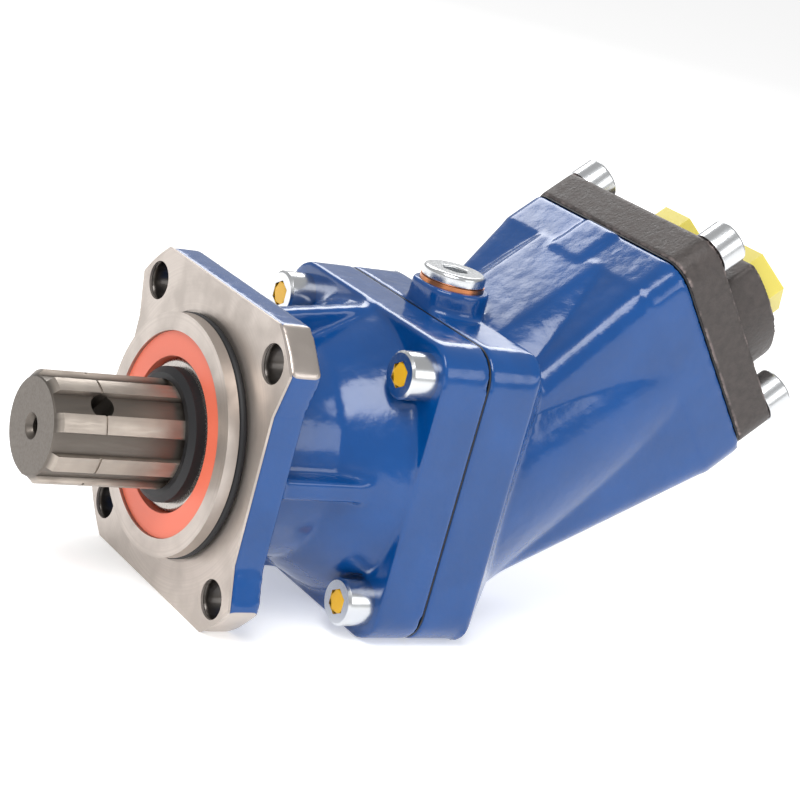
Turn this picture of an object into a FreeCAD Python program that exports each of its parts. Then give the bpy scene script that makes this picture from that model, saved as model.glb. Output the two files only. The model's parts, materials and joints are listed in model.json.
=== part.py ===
"""Bent-axis axial piston pump for a truck power take-off, driven by one table of sizes.

Frame: millimetres, +X runs back along the drive shaft from the mounting face, +Z is up, and the
origin is the centre of the pilot on the mounting face. The cylinder block's axis leaves the shaft's
axis at the bend centre and rises towards the rear in the XZ plane.
"""
import FreeCAD, Part
import math
import os
import re

import Sketcher
from FreeCAD import Placement, Rotation, Vector

# ---------------------------------------------------------------- driving sizes

SIZE_TABLE = [
    # alias, value, what it is
    ("bend_angle", 40, "angle between the shaft and the cylinder block, degrees"),
    ("bend_from_face", 106, "mounting face to the bend centre, along the shaft"),
    ("casting_clearance", 1.5, "play between a casting and what turns in it"),
    ("running_clearance", 0.1, "radial clearance of a lubricated fit"),
    # mounting flange
    ("flange_width", 102, "mounting flange across its corners, sideways"),
    ("flange_height", 105, "mounting flange, top to bottom"),
    ("flange_thickness", 12, "mounting flange plate"),
    ("flange_corner_radius", 64.75, "turned corners of the mounting flange"),
    ("flange_waist", 94, "mounting flange between its holes, sideways"),
    ("flange_waist_height", 50, "straight part of the waist, top to bottom"),
    ("flange_hole_radius", 6.5, "mounting holes"),
    ("flange_hole_pitch", 80, "mounting holes, centre to centre both ways"),
    ("pilot_radius", 40, "locating spigot on the mounting face"),
    ("pilot_height", 7.5, "locating spigot, forward of the mounting face"),
    ("oring_section", 3, "diameter of an O-ring's cord"),
    ("root_relief", 0.3, "turned relief at the spigot's root, into the mounting face"),
    # neck and front housing
    ("neck_radius", 38.5, "outside of the bearing barrel"),
    ("neck_flare_radius", 51, "bearing barrel where it meets the rear plate"),
    ("neck_flare_length", 22, "length of that flare"),
    ("neck_top_front", 44.5, "top rib's edge at the mounting flange, above the shaft axis"),
    ("neck_top_rear", 51, "top rib's edge at the rear plate, above the shaft axis"),
    ("neck_rib_reach", 44.5, "side ribs' reach from the shaft axis"),
    ("neck_rib_thickness", 7, "ribs round the bearing barrel"),
    ("plate_front", 57.85, "mounting face to the front of the rear plate"),
    ("plate_thickness", 18.15, "rear plate of the front housing"),
    ("plate_width", 102, "rear plate and barrel housing, sideways"),
    ("plate_height", 105, "rear plate and barrel housing, top to bottom"),
    ("plate_corner", 12, "corner radius of that plate"),
    ("joint_screw_pitch", 80, "housing screws, centre to centre both ways"),
    # barrel housing
    ("band_depth", 19.5, "square front band of the barrel housing"),
    ("band_taper", 30, "slope behind the band, both ways"),
    ("barrel_case_radius", 45.4, "cast cylinder round the cylinder block"),
    ("case_width", 90.8, "rear flange of the barrel housing, sideways"),
    ("case_top", 41.4, "rear flange above the block's axis"),
    ("case_bottom", 42.2, "end cover and its screws below the block's axis"),
    ("case_heel", 44.9, "rear flange below the block's axis"),
    ("case_corner", 9, "corner radius of the rear flange"),
    ("case_length", 87.8, "bend centre to the cover joint, along the block's axis"),
    ("case_flange_depth", 16, "rear flange of the barrel housing"),
    ("case_waist_start", 40, "barrel housing's waist, in front of the bend centre"),
    ("case_waist_width", 66, "that waist, sideways"),
    ("case_waist_top", 20.6, "waist above the block's axis"),
    ("case_waist_bottom", 29.6, "waist below the block's axis"),
    ("case_crown", 42.1, "flat top of the cast cylinder above the block's axis"),
    ("case_step", 0.2, "rear flange's edges, proud of the taper that runs into it"),
    ("case_foot_lift", 0.4, "foot of the tilted casting, above the front band's foot"),
    ("pad_width", 17, "raised cast pad on top of the rear flange, sideways"),
    ("pad_length", 17.5, "that pad, along the block's axis"),
    ("pad_top", 42.7, "that pad's top above the block's axis"),
    ("gasket_thickness", 0.6, "gaskets at the two housing joints"),
    ("gasket_inset", 0.4, "gaskets' edges, inside the castings' edges"),
    ("plug_from_face", 88.5, "mounting face to the vent plug's axis"),
    ("plug_boss_rise", 8.5, "vent plug's boss, above the top of the front band"),
    ("plug_radius", 11, "vent plug's head"),
    # cover
    ("cover_thickness", 15, "end cover plate"),
    ("cover_screw_pitch", 75, "cover screws, sideways"),
    ("cover_screw_rise", 67.4, "cover screws, along the cover"),
    ("port_boss_radius", 38, "round boss that carries the ports"),
    ("port_boss_height", 18, "that boss behind the cover plate"),
    ("port_boss_top", 16, "flat top of that boss above the block's axis"),
    ("port_pitch", 42, "ports, centre to centre"),
    ("port_radius", 13.2, "port threads"),
    ("port_depth", 16, "port threads, depth"),
    ("cap_flats", 25, "port caps across the flats"),
    ("cap_height", 8, "port caps, head height"),
    # screws
    ("screw_radius", 5, "M10 screws"),
    ("screw_play", 0.4, "clearance holes, all round the screws"),
    ("screw_head_radius", 8, "M10 socket heads"),
    ("screw_head_height", 10, "M10 socket heads"),
    ("screw_socket_flats", 8, "hexagon sockets"),
    # shaft
    ("spline_length", 55, "splined end, forward of the mounting face"),
    ("spline_major", 18, "spline tip radius"),
    ("spline_minor", 16, "spline root radius"),
    ("spline_tooth", 6, "spline tooth width"),
    ("spline_phase", 19.5, "turn of the first spline tooth, degrees"),
    ("spline_end", 8, "mounting face to the end of the splines, forward"),
    ("cross_hole_from_face", 38, "cross hole in the spline, forward of the face"),
    ("cross_hole_radius", 4, "cross hole"),
    ("neck_journal", 19, "shaft under the seal sleeve and the nut"),
    ("front_journal", 20, "shaft in the front bearing"),
    ("middle_journal", 22, "shaft between the bearings"),
    ("rear_journal", 25, "shaft in the rear bearing"),
    ("hub_radius", 31, "shaft behind the rear bearing"),
    ("drive_disc_radius", 36, "drive disc that holds the pistons' balls"),
    ("drive_disc_thickness", 14, "drive disc"),
    # seal
    ("seal_radius", 33.9, "shaft seal's outside and the front bearing bore"),
    ("seal_front", 6.5, "mounting face to the seal's front, forward"),
    ("seal_width", 8, "shaft seal"),
    ("sleeve_radius", 25, "seal sleeve on the shaft"),
    ("sleeve_front", 5, "mounting face to the sleeve's front, forward"),
    ("sleeve_length", 10, "seal sleeve"),
    ("nut_length", 8, "bearing nut"),
    ("nut_radius", 28, "bearing nut"),
    # bearings
    ("front_bearing_start", 13, "mounting face to the front bearing"),
    ("front_bearing_width", 19, "front bearing"),
    ("rear_bearing_start", 54, "mounting face to the rear bearing"),
    ("rear_bearing_width", 21, "rear bearing"),
    ("rear_cup_radius", 40, "rear bearing's outside"),
    ("bearing_lip", 3, "shoulder behind each bearing cup"),
    ("race_rise", 0.9, "slope of the raceways, half of their rise"),
    ("front_cone_race", 24.2, "front bearing's inner raceway, middle"),
    ("front_cup_race", 30, "front bearing's outer raceway, middle"),
    ("rear_cone_race", 29.5, "rear bearing's inner raceway, middle"),
    ("rear_cup_race", 35.8, "rear bearing's outer raceway, middle"),
    ("front_roller_count", 18, "rollers in the front bearing"),
    ("rear_roller_count", 22, "rollers in the rear bearing"),
    # rotating group
    ("piston_count", 7, "pistons"),
    ("ball_circle", 26.5, "ball centres from the shaft's axis"),
    ("ball_radius", 7.5, "piston balls"),
    ("bore_radius", 8, "bores in the cylinder block"),
    ("rod_length", 52, "ball centre to head centre"),
    ("rod_neck", 3.6, "piston rod next to its ball"),
    ("rod_shoulder", 4.9, "piston rod behind its neck"),
    ("rod_root", 6.3, "piston rod next to its head"),
    ("head_length", 9, "piston head"),
    ("ring_width", 1.5, "piston rings"),
    ("ring_gap", 1.7, "land between the two piston rings"),
    ("ring_inset", 0.26, "piston rings' outside, inside the bore"),
    ("block_radius", 36, "cylinder block"),
    ("block_start", 28, "bend centre to the front of the cylinder block"),
    ("bore_end", 75, "bend centre to the bottom of the bores"),
    ("block_chamfer", 4, "front edge of the cylinder block"),
    ("valve_thickness", 6, "valve plate at its centre"),
    ("valve_sphere", 150, "spherical running face between block and valve plate"),
    ("valve_radius", 35, "valve plate"),
    ("kidney_width", 8, "kidney slots in the valve plate"),
    ("retainer_thickness", 1.6, "plate that holds the balls in the drive disc"),
    ("pin_ball_radius", 6, "centre pin's ball"),
    ("pin_radius", 4, "centre pin"),
    ("pin_collar_radius", 7.4, "centre pin's collar"),
    ("spring_bore_radius", 8, "bore for the centre spring"),
    ("spring_end", 60, "bend centre to the bottom of the spring's bore"),
    ("spring_wire", 0.9, "radius of the spring's wire"),
    ("spring_turns", 5, "working turns of the spring"),
    ("spring_radius", 6.2, "centre spring, to the middle of its wire"),
]
SIZES = {name: float(value) for name, value, meaning in SIZE_TABLE}

doc = FreeCAD.newDocument("axial_piston_pump")
sheet = doc.addObject("Spreadsheet::Sheet", "Sizes")
for row, (name, value, meaning) in enumerate(SIZE_TABLE, start=1):
    sheet.set("A%d" % row, name)
    sheet.set("B%d" % row, str(value))
    sheet.set("C%d" % row, meaning)
    sheet.setAlias("B%d" % row, name)
doc.recompute()


def number(text):
    """The value of a sum of products of named sizes, such as 'plate_front + band_depth / 2'."""
    total = 0.0
    for sign, term in re.findall(r"([+-]?)([^+-]+)", str(text).replace(" ", "")):
        value = 1.0
        for operator, factor in re.findall(r"([*/]?)([^*/]+)", term):
            amount = SIZES[factor] if factor in SIZES else float(factor)
            value = value / amount if operator == "/" else value * amount
        total += -value if sign == "-" else value
    return total


def bind(thing, path, text):
    """Ties a property or a constraint of thing to the sheet."""
    thing.setExpression(path, re.sub(r"([a-z_]+)", r"Sizes.\1", str(text)))


# ---------------------------------------------------------------- places

BEND_ANGLE = SIZES["bend_angle"]
BEND_COS = math.cos(math.radians(BEND_ANGLE))
BEND_SIN = math.sin(math.radians(BEND_ANGLE))
ALONG_BLOCK = Vector(BEND_COS, 0, BEND_SIN)
UP_BLOCK = Vector(-BEND_SIN, 0, BEND_COS)
SIDEWAYS = Vector(0, 1, 0)
# Pieces on the block's axis are drawn along X from the bend centre, and tilted into place.
ON_BLOCK = Placement(Vector(SIZES["bend_from_face"], 0, 0), Rotation(SIDEWAYS, -BEND_ANGLE))
ON_SHAFT = Placement()


PLUG_BOSS_TOP = "plate_height / 2 + plug_boss_rise"


# ---------------------------------------------------------------- drawing helpers

def origin_plane(body, role):
    return next(plane for plane in body.Origin.OriginFeatures if plane.Role == role)


def sketch(body, name, role, outline, offset=None):
    """A closed outline of (first, second) places; every corner is dimensioned from the origin."""
    drawing = body.newObject("Sketcher::SketchObject", name)
    drawing.AttachmentSupport = [(origin_plane(body, role), "")]
    drawing.MapMode = "FlatFace"
    if offset is not None:
        bind(drawing, "AttachmentOffset.Base.z", offset)
    places = [Vector(number(first), number(second), 0) for first, second in outline]
    following = places[1:] + places[:1]
    for start, end in zip(places, following):
        drawing.addGeometry(Part.LineSegment(start, end), False)
    count = len(places)
    for index in range(count):
        drawing.addConstraint(Sketcher.Constraint("Coincident", index, 2, (index + 1) % count, 1))
    for index, (first, second) in enumerate(outline):
        for kind, text in (("DistanceX", first), ("DistanceY", second)):
            constraint = Sketcher.Constraint(kind, -1, 1, index, 1, number(text))
            bind(drawing, "Constraints[%d]" % drawing.addConstraint(constraint), text)
    return drawing


def turned(name, outline, placement=ON_SHAFT):
    """A piece turned about its own X axis from an outline of (along, radius)."""
    body = doc.addObject("PartDesign::Body", name)
    turn = body.newObject("PartDesign::Revolution", name + "_turning")
    turn.Profile = sketch(body, name + "_outline", "XY_Plane", outline)
    turn.ReferenceAxis = (turn.Profile[0], ["H_Axis"])
    turn.Angle = 360
    body.Tip = turn
    body.Placement = placement
    return body


def plate(name, outline, start, thickness, placement=ON_SHAFT):
    """A flat piece with an outline of (sideways, up), from start along X."""
    body = doc.addObject("PartDesign::Body", name)
    pad = body.newObject("PartDesign::Pad", name + "_pad")
    pad.Profile = sketch(body, name + "_outline", "YZ_Plane", outline, start)
    bind(pad, "Length", thickness)
    body.Tip = pad
    body.Placement = placement
    return body


def cylinder(name, radius, start, length, across="0", up="0", placement=ON_SHAFT):
    """A cylinder along X (in the placement's frame) from start."""
    rod = doc.addObject("Part::Cylinder", name)
    bind(rod, "Radius", radius)
    bind(rod, "Height", length)
    base = Vector(number(start), number(across), number(up))
    rod.Placement = placement.multiply(Placement(base, Rotation(SIDEWAYS, 90)))
    return rod


def upright(name, radius, along, start, length):
    """A cylinder along Z."""
    rod = doc.addObject("Part::Cylinder", name)
    bind(rod, "Radius", radius)
    bind(rod, "Height", length)
    bind(rod, "Placement.Base.x", along)
    bind(rod, "Placement.Base.z", start)
    return rod


def total(*sums):
    """One sum out of several."""
    joined = sums[0]
    for text in sums[1:]:
        joined += " - " + text[1:] if text.startswith("-") else " + " + text
    return joined


def opposite(text):
    """The same sum with every sign turned."""
    signed = text if text.startswith("-") else "+" + text
    return signed.translate(str.maketrans("+-", "-+")).lstrip("+")


def box(name, start, length, half_width, low, high, placement=ON_SHAFT):
    """A box from start along X, centred sideways, from low to high."""
    block = doc.addObject("Part::Box", name)
    bind(block, "Length", length)
    bind(block, "Width", total(half_width, half_width))
    bind(block, "Height", total(high, opposite(low)))
    corner = Vector(number(start), -number(half_width), number(low))
    block.Placement = placement.multiply(Placement(corner, Rotation()))
    return block


def ball(name, radius, centre):
    """A sphere round a place, with its poles fore and aft, so no flat face runs through them."""
    sphere = doc.addObject("Part::Sphere", name)
    bind(sphere, "Radius", radius)
    sphere.Placement = Placement(centre, Rotation(SIDEWAYS, 90))
    return sphere


def fuse(name, pieces):
    joined = doc.addObject("Part::MultiFuse", name)
    joined.Shapes = pieces
    joined.Refine = True
    return joined


def cut(name, base, tools):
    """base without the tools."""
    remainder = doc.addObject("Part::Cut", name)
    remainder.Base = base
    remainder.Tool = tools[0] if len(tools) == 1 else fuse(name + "_tools", tools)
    return remainder


def common(name, base, tool):
    overlap = doc.addObject("Part::Common", name)
    overlap.Base = base
    overlap.Tool = tool
    return overlap


def group(name, pieces):
    """Separate solids that share one node."""
    together = doc.addObject("Part::Compound", name)
    together.Links = pieces
    return together


def rounded_block(name, start, length, half_width, low, high, corner, placement=ON_SHAFT):
    """A prism along X with a rounded rectangle for its section, low and high measured in Z."""
    inner = total(half_width, opposite(corner))
    bottom, top = total(low, corner), total(high, opposite(corner))
    pieces = [box(name + "_tall", start, length, inner, low, high, placement),
              box(name + "_wide", start, length, half_width, bottom, top, placement)]
    for side, across in (("left", inner), ("right", opposite(inner))):
        for end, up in (("low", bottom), ("high", top)):
            label = "%s_%s_%s" % (name, side, end)
            pieces.append(cylinder(label, corner, start, length, across, up, placement))
    return fuse(name, pieces)


def four_corners(pitch_across, pitch_up, middle="0"):
    """The corners of a screw pattern, as (across, up) texts."""
    return [("%s%s / 2" % (side, pitch_across), "%s %s %s / 2" % (middle, sign, pitch_up))
            for side in ("", "-") for sign in ("+", "-")]


def settle(piece, name):
    """Makes a document object the sub-part of that name."""
    piece.Label = name
    SUBPARTS.append(piece)
    return piece


SUBPARTS = []
QUARTER_TURNS = (0, 90, 180, 270)
X_AXIS = Vector(1, 0, 0)


def spun(placement, angle):
    """The placement turned about its own X axis."""
    return placement.multiply(Placement(Vector(), Rotation(X_AXIS, angle)))


def hexagon(flats):
    """A hexagon's outline from its width across the flats."""
    half, point, shoulder = ("%s * 0.5" % flats, "%s * 0.57735" % flats, "%s * 0.288675" % flats)
    return [(half, shoulder), ("0", point), ("-" + half, shoulder),
            ("-" + half, "-" + shoulder), ("0", "-" + point), (half, "-" + shoulder)]


def sector(name, outline, angle, placement):
    """A turned piece of angle degrees, centred on the placement's Y axis."""
    piece = turned(name, outline, placement)
    piece.Tip.Midplane = True
    piece.Tip.Angle = angle
    return piece


def frustum(name, start, length, small, large, corner, placement=ON_SHAFT):
    """A rounded taper along X: small and large are (left, right, low, high) at its two ends."""
    wedge = doc.addObject("Part::Wedge", name + "_wedge")
    bind(wedge, "Ymin", "0")
    bind(wedge, "Ymax", length)
    for mark, (left, right, low, high) in (("", small), ("2", large)):
        bind(wedge, "X%smin" % mark, left)
        bind(wedge, "X%smax" % mark, right)
        bind(wedge, "Z%smin" % mark, low)
        bind(wedge, "Z%smax" % mark, high)
    across = Placement(Vector(number(start), 0, 0), Rotation(Vector(0, 0, 1), -90))
    wedge.Placement = placement.multiply(across)
    doc.recompute()
    back = wedge.Placement.inverse()
    long_edges = []
    for index, edge in enumerate(wedge.Shape.Edges, start=1):
        first, last = [back.multVec(vertex.Point) for vertex in edge.Vertexes]
        if abs(first.y - last.y) > number(length) / 2:
            long_edges.append((index, number(corner), number(corner)))
    rounded = doc.addObject("Part::Fillet", name)
    rounded.Base = wedge
    rounded.Edges = long_edges
    return rounded


# ---------------------------------------------------------------- front housing

def front_housing():
    """One casting in three simple nodes: the flange, the bearing barrel and the rear plate."""
    half_width, half_height = "flange_width / 2", "flange_height / 2"
    corner_up = math.sqrt(SIZES["flange_corner_radius"] ** 2 - (SIZES["flange_width"] / 2) ** 2) - 0.5
    outline = []
    for side, way in (("", 1), ("-", -1)):
        flank = [(side + half_width, "-" + half_height), (side + half_width, "-%.3f" % corner_up),
                 (side + "flange_waist / 2", "-flange_waist_height / 2"),
                 (side + "flange_waist / 2", "flange_waist_height / 2"),
                 (side + half_width, "%.3f" % corner_up), (side + half_width, half_height)]
        outline += flank[::way]
    blank = plate("flange_blank", outline, "0", "flange_thickness")
    corners = cylinder("flange_corners", "flange_corner_radius", "-1", "flange_thickness + 2")
    flange = common("flange", blank, corners)
    pilot = cylinder("pilot", "pilot_radius", "-pilot_height", "pilot_height + 1")
    barrel = turned("neck", [
        ("flange_thickness / 2", "0"), ("flange_thickness / 2", "neck_radius"),
        ("plate_front - neck_flare_length", "neck_radius"), ("plate_front + 1", "neck_flare_radius"),
        ("plate_front + 1", "0")])
    reach = "plate_front - flange_thickness + 2"
    rib_half = "neck_rib_thickness / 2"
    top_rib = frustum("neck_top_rib", "flange_thickness - 1", reach,
                      ("-" + rib_half, rib_half, "0", "neck_top_front"),
                      ("-" + rib_half, rib_half, "0", "neck_top_rear"), "1")
    low_rib = box("neck_low_rib", "flange_thickness - 1", reach, rib_half, "-neck_rib_reach", "0")
    ribs = box("neck_ribs", "flange_thickness - 1", reach, "neck_rib_reach",
               "-neck_rib_thickness / 2", "neck_rib_thickness / 2")
    rear = rounded_block("rear_blank", "plate_front", "plate_thickness", "plate_width / 2",
                         "-plate_height / 2", "plate_height / 2", "plate_corner")
    casting = fuse("front_casting", [flange, pilot, barrel, top_rib, low_rib, ribs, rear])

    holes = [cylinder("seal_bore", "seal_radius", "-pilot_height - 1",
                      "pilot_height + 1 + front_bearing_start + front_bearing_width"),
             cylinder("web_bore", "seal_radius - bearing_lip", "0", "rear_bearing_start + 1"),
             cylinder("rear_bore", "rear_cup_radius", "rear_bearing_start",
                      "plate_front + plate_thickness - rear_bearing_start + 1"),
             turned("oring_groove", [
                 ("-oring_section - 0.4", "pilot_radius - 2.8"), ("root_relief", "pilot_radius - 2.8"),
                 ("root_relief", "pilot_radius + 1"),
                 ("-oring_section - 0.4", "pilot_radius + 1")])]
    for index, (across, up) in enumerate(four_corners("flange_hole_pitch", "flange_hole_pitch")):
        holes.append(cylinder("mounting_hole_%d" % index, "flange_hole_radius", "-1",
                              "flange_thickness + 2", across, up))
    for index, (across, up) in enumerate(four_corners("joint_screw_pitch", "joint_screw_pitch")):
        holes.append(cylinder("joint_hole_%d" % index, "screw_radius + screw_play", "plate_front - 1",
                              "plate_thickness + 2", across, up))
        holes.append(cylinder("spot_face_%d" % index, "screw_head_radius + 1.5",
                              "plate_front - 2.5 * screw_head_height", "2.5 * screw_head_height",
                              across, up))
    whole = cut("front_housing_body", casting, holes)
    far = "2 * plate_width"
    slices = (("mounting_flange", "-pilot_height - 1", "pilot_height + 1 + flange_thickness"),
              ("bearing_neck", "flange_thickness", "plate_front - flange_thickness"),
              ("rear_plate", "plate_front", "plate_thickness + 1"))
    for name, low, length in slices:
        space = box(name + "_space", low, length, far, "-" + far, far)
        settle(common(name + "_body", whole, space), name)


def pilot_oring():
    ring = doc.addObject("Part::Torus", "pilot_oring_body")
    bind(ring, "Radius1", "pilot_radius - 1.1")
    bind(ring, "Radius2", "oring_section / 2")
    ring.Placement = Placement(Vector(number("-oring_section / 2 - 0.2"), 0, 0), Rotation(SIDEWAYS, 90))
    return settle(ring, "pilot_oring")


# ---------------------------------------------------------------- barrel housing and cover

def behind_joint(name):
    """The space above the housing's foot and behind the joint."""
    return box(name, "plate_front + plate_thickness + gasket_thickness", "4 * plate_width",
               "plate_width", "case_foot_lift - plate_height / 2", "4 * plate_height")


def block_axis_clip():
    """That space under the flat crown."""
    behind = behind_joint("behind_joint")
    under = box("under_crown", "-plate_width", "plate_width + case_length", "plate_width",
                "-2 * plate_width", "case_crown", ON_BLOCK)
    return common("case_space", behind, under)


def barrel_housing():
    """Casting round the drive disc and the tilted cylinder block."""
    start = "plate_front + plate_thickness + gasket_thickness"
    plate_low, plate_high = "-plate_height / 2", "plate_height / 2"
    band = rounded_block("front_band", start, "band_depth", "plate_width / 2",
                         plate_low, plate_high, "plate_corner")
    taper = frustum("band_slope", start + " + band_depth", "band_taper",
                    ("-plate_width / 2", "plate_width / 2", plate_low, plate_high),
                    ("band_taper - plate_width / 2", "plate_width / 2 - band_taper",
                     plate_low + " + band_taper", plate_high + " - band_taper"), "plate_corner")
    case = frustum("case_taper", "-case_waist_start",
                   "case_waist_start + case_length - case_flange_depth + 1",
                   ("-case_waist_width / 2", "case_waist_width / 2",
                    "-case_waist_bottom", "case_waist_top"),
                   ("case_step - case_width / 2", "case_width / 2 - case_step",
                    "case_step - case_heel", "case_top - case_step"),
                   "case_corner", ON_BLOCK)
    flange = rounded_block("case_flange", "case_length - case_flange_depth", "case_flange_depth",
                           "case_width / 2", "-case_heel", "case_top", "case_corner", ON_BLOCK)
    tube = cylinder("case_tube", "barrel_case_radius", "-plate_width",
                    "plate_width + case_length - case_flange_depth + 1", placement=ON_BLOCK)
    pad = box("cast_pad", "case_length - pad_length", "pad_length - 0.5", "pad_width / 2",
              "case_bottom / 2", "pad_top", ON_BLOCK)
    leaning = common("case_leaning", fuse("case_body", [case, tube, flange]), block_axis_clip())
    boss = common("plug_boss", behind_joint("behind_joint_boss"), upright(
        "plug_boss_round", "plug_radius + 2.5", "plug_from_face", "0", PLUG_BOSS_TOP))
    casting = fuse("barrel_casting", [band, taper, leaning, boss, pad])

    disc_space = cylinder("disc_space", "drive_disc_radius + casting_clearance + 1",
                          "plate_front + plate_thickness - 1",
                          "bend_from_face + 6 - plate_front - plate_thickness")
    block_space = cylinder("block_space", "block_radius + casting_clearance + 0.5", "-8",
                           "case_length + 9", placement=ON_BLOCK)
    bend_space = ball("bend_space", "drive_disc_radius + casting_clearance + 2", bend_centre())
    holes = [disc_space, block_space, bend_space,
             upright("plug_hole", "plug_radius - 3", "plug_from_face", "0", PLUG_BOSS_TOP + " + 1")]
    for index, (across, up) in enumerate(four_corners("joint_screw_pitch", "joint_screw_pitch")):
        holes.append(cylinder("joint_thread_%d" % index, "screw_radius", start + " - 1",
                              "band_depth - 1", across, up))
    for index, (across, up) in enumerate(cover_screw_places()):
        holes.append(cylinder("cover_thread_%d" % index, "screw_radius", "case_length - 18", "19",
                              across, up, ON_BLOCK))
    return settle(cut("barrel_housing_body", casting, holes), "barrel_housing")


def cover_screw_places():
    return four_corners("cover_screw_pitch", "cover_screw_rise", "case_top / 2 - case_bottom / 2")


def gasket(name, start, half_width, low, high, corner, bore, places, placement):
    """A flat gasket with the joint's outline, a little inside its edges."""
    sheet_blank = rounded_block(name + "_blank", start, "gasket_thickness", half_width, low, high,
                                corner, placement)
    holes = [cylinder(name + "_bore", bore, start + " - 1", "3", placement=placement)]
    for index, (across, up) in enumerate(places):
        holes.append(cylinder("%s_hole_%d" % (name, index), "screw_radius + screw_play", start + " - 1", "3",
                              across, up, placement))
    return settle(cut(name + "_body", sheet_blank, holes), name)


def kidneys(name, start, length, placement):
    """Two curved slots over the pitch circle of the bores, one each side."""
    pitch = "ball_circle * %.6f" % ((1 + BEND_COS) / 2)
    outline = [(start, pitch + " - kidney_width / 2"), (start + " + " + length, pitch + " - kidney_width / 2"),
               (start + " + " + length, pitch + " + kidney_width / 2"), (start, pitch + " + kidney_width / 2")]
    return [sector("%s_%d" % (name, turn), outline, 116, spun(placement, turn)) for turn in (0, 180)]


def end_cover():
    """Cast cover with the two threaded ports in a round boss with a flat top."""
    start = "case_length + gasket_thickness"
    slab = rounded_block("cover_slab", start, "cover_thickness", "case_width / 2",
                         "-case_bottom", "case_top", "case_corner", ON_BLOCK)
    boss_start = start + " + cover_thickness - 1"
    boss_round = cylinder("port_boss_round", "port_boss_radius", boss_start, "port_boss_height + 1",
                          placement=ON_BLOCK)
    boss_space = box("port_boss_space", boss_start, "port_boss_height + 1", "port_boss_radius + 1",
                     "-port_boss_radius - 1", "port_boss_top", ON_BLOCK)
    boss = common("port_boss", boss_round, boss_space)
    holes = kidneys("cover_kidney", start + " - 1",
                    "cover_thickness + port_boss_height - port_depth + 2", ON_BLOCK)
    for side, sign in (("suction", ""), ("pressure", "-")):
        holes.append(cylinder(side + "_port", "port_radius",
                              start + " + cover_thickness + port_boss_height - port_depth",
                              "port_depth + 1", sign + "port_pitch / 2", placement=ON_BLOCK))
    for index, (across, up) in enumerate(cover_screw_places()):
        holes.append(cylinder("cover_hole_%d" % index, "screw_radius + screw_play", start + " - 1",
                              "cover_thickness + 2", across, up, ON_BLOCK))
        holes.append(cylinder("cover_spot_face_%d" % index, "screw_head_radius + 0.6",
                              start + " + cover_thickness", "port_boss_height + 1", across, up, ON_BLOCK))
    return settle(cut("end_cover_body", fuse("cover_casting", [slab, boss]), holes), "end_cover")


def port_cap(name, sign):
    """Plastic cap with a hexagon head, pushed into a port."""
    face = "case_length + gasket_thickness + cover_thickness + port_boss_height"
    seat = ON_BLOCK.multiply(Placement(Vector(0, number(sign + "port_pitch / 2"), 0), Rotation()))
    flat_on_top = [(up, across) for across, up in hexagon("cap_flats")]
    head = plate(name + "_head", flat_on_top, face, "cap_height", seat)
    shank = cylinder(name + "_shank", "port_radius - running_clearance", face + " - 10", "11",
                     placement=seat)
    hollow = cylinder(name + "_hollow", "port_radius - 3", face + " - 11", "15", placement=seat)
    return settle(cut(name + "_body", fuse(name + "_solid", [head, shank]), [hollow]), name)


# ---------------------------------------------------------------- fasteners

def socket_screw(name, shank, placement):
    """Socket head cap screw: head in front of its own origin, shank behind it."""
    blank = turned(name + "_blank", [
        ("-screw_head_height", "0"), ("-screw_head_height", "screw_head_radius - 0.8"),
        ("-screw_head_height + 0.8", "screw_head_radius"), ("0", "screw_head_radius"),
        ("0", "screw_radius"), (shank, "screw_radius"), (shank, "0")], placement)
    socket = plate(name + "_socket", hexagon("screw_socket_flats"), "-screw_head_height - 1",
                   "screw_head_height / 2 + 1", placement)
    return cut(name, blank, [socket])


def housing_screws():
    screws = []
    for index, (across, up) in enumerate(four_corners("joint_screw_pitch", "joint_screw_pitch")):
        place = Placement(Vector(number("plate_front"), number(across), number(up)), Rotation())
        screws.append(socket_screw("housing_screw_%d" % index, "plate_thickness + 12", place))
    return settle(group("housing_screws_body", screws), "housing_screws")


def cover_screws():
    screws = []
    face = number("case_length + gasket_thickness + cover_thickness")
    for index, (across, up) in enumerate(cover_screw_places()):
        place = Placement(Vector(face, number(across), number(up)), Rotation(SIDEWAYS, 180))
        screws.append(socket_screw("cover_screw_%d" % index, "cover_thickness + 14",
                                   ON_BLOCK.multiply(place)))
    return settle(group("cover_screws_body", screws), "cover_screws")


def vent_plug():
    """Screw plug with a flat head and a hexagon socket, on a copper washer."""
    stand = Placement(Vector(SIZES["plug_from_face"], 0, 0), Rotation(SIDEWAYS, -90))
    washer_top = PLUG_BOSS_TOP + " + 1.5"
    washer = turned("vent_washer_body", [
        (PLUG_BOSS_TOP, "plug_radius - 3"), (washer_top, "plug_radius - 3"),
        (washer_top, "plug_radius + 0.3"), (PLUG_BOSS_TOP, "plug_radius + 0.3")], stand)
    blank = turned("vent_plug_blank", [
        (PLUG_BOSS_TOP + " - 14", "0"), (PLUG_BOSS_TOP + " - 14", "plug_radius - 3"),
        (washer_top, "plug_radius - 3"), (washer_top, "plug_radius"),
        (washer_top + " + 3.2", "plug_radius"), (washer_top + " + 4", "plug_radius - 0.9"),
        (washer_top + " + 4", "0")], stand)
    socket = plate("vent_plug_socket", hexagon("screw_socket_flats"), washer_top + " - 1", "6", stand)
    settle(washer, "vent_washer")
    return settle(cut("vent_plug_body", blank, [socket]), "vent_plug")


# ---------------------------------------------------------------- shaft and bearings

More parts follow.
